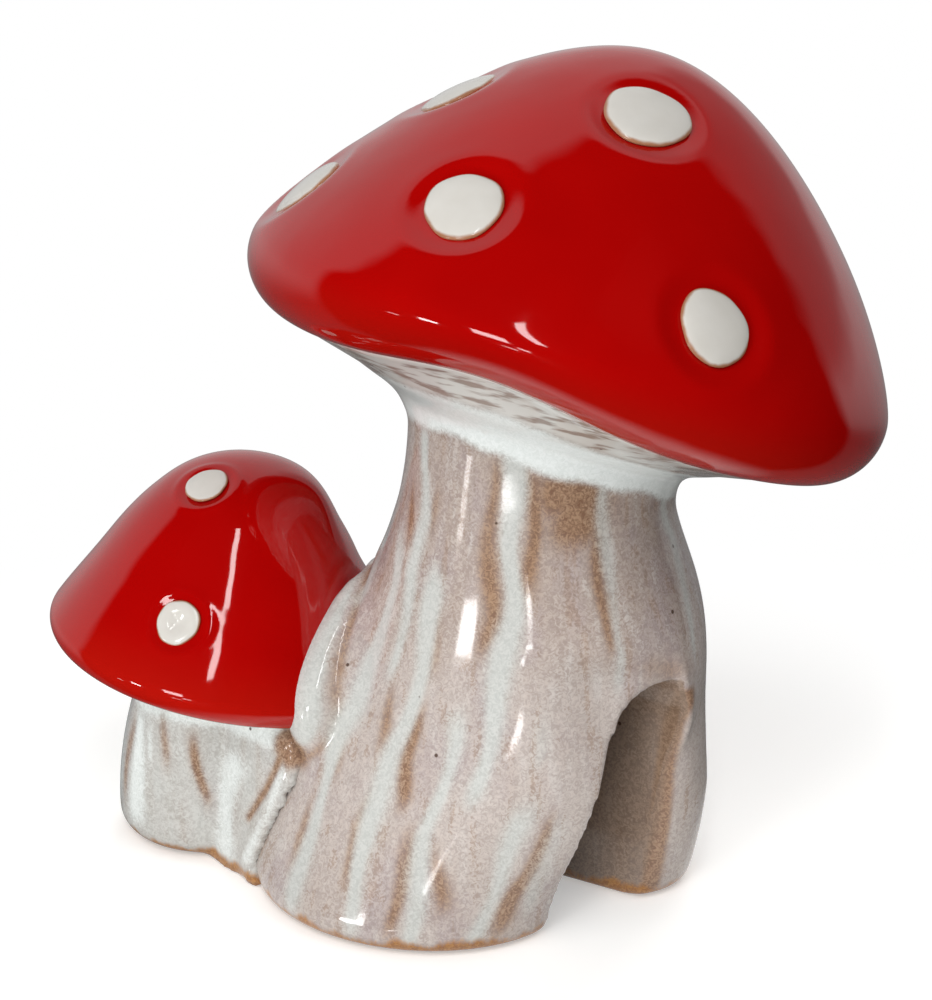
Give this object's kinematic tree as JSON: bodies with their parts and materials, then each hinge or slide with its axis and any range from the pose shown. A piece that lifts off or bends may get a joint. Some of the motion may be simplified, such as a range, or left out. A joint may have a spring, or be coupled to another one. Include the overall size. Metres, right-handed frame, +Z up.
{
  "type": "ceramic mushroom ornament",
  "caption": "Glazed ceramic toadstool ornament: a large and a small mushroom with red caps, raised white dots and pale stems, and an arched slot in the foot to sit over a pot rim.",
  "frame": {"origin": "middle of the pot rim slot on the plane of the foot", "axes": "+X along the slot towards its open end, +Y towards the rear leg, +Z up"},
  "size_m": [0.0914, 0.0694, 0.0933],
  "materials": {
    "red_glaze": "glossy",
    "dot_glaze": "glossy",
    "stem_glaze": "glossy"
  },
  "bodies": {
    "root": {"large_stem": "stem_glaze", "large_cap": "red_glaze", "small_stem": "stem_glaze", "small_cap": "red_glaze", "large_cap_dot_1": "dot_glaze", "large_cap_dot_2": "dot_glaze", "large_cap_dot_3": "dot_glaze", "large_cap_dot_4": "dot_glaze", "large_cap_dot_5": "dot_glaze", "large_cap_dot_6": "dot_glaze", "large_cap_dot_7": "dot_glaze", "large_cap_dot_8": "dot_glaze", "large_cap_dot_9": "dot_glaze", "small_cap_dot_1": "dot_glaze", "small_cap_dot_2": "dot_glaze", "small_cap_dot_3": "dot_glaze", "small_cap_dot_4": "dot_glaze", "small_cap_dot_5": "dot_glaze"}
  },
  "joints": []
}
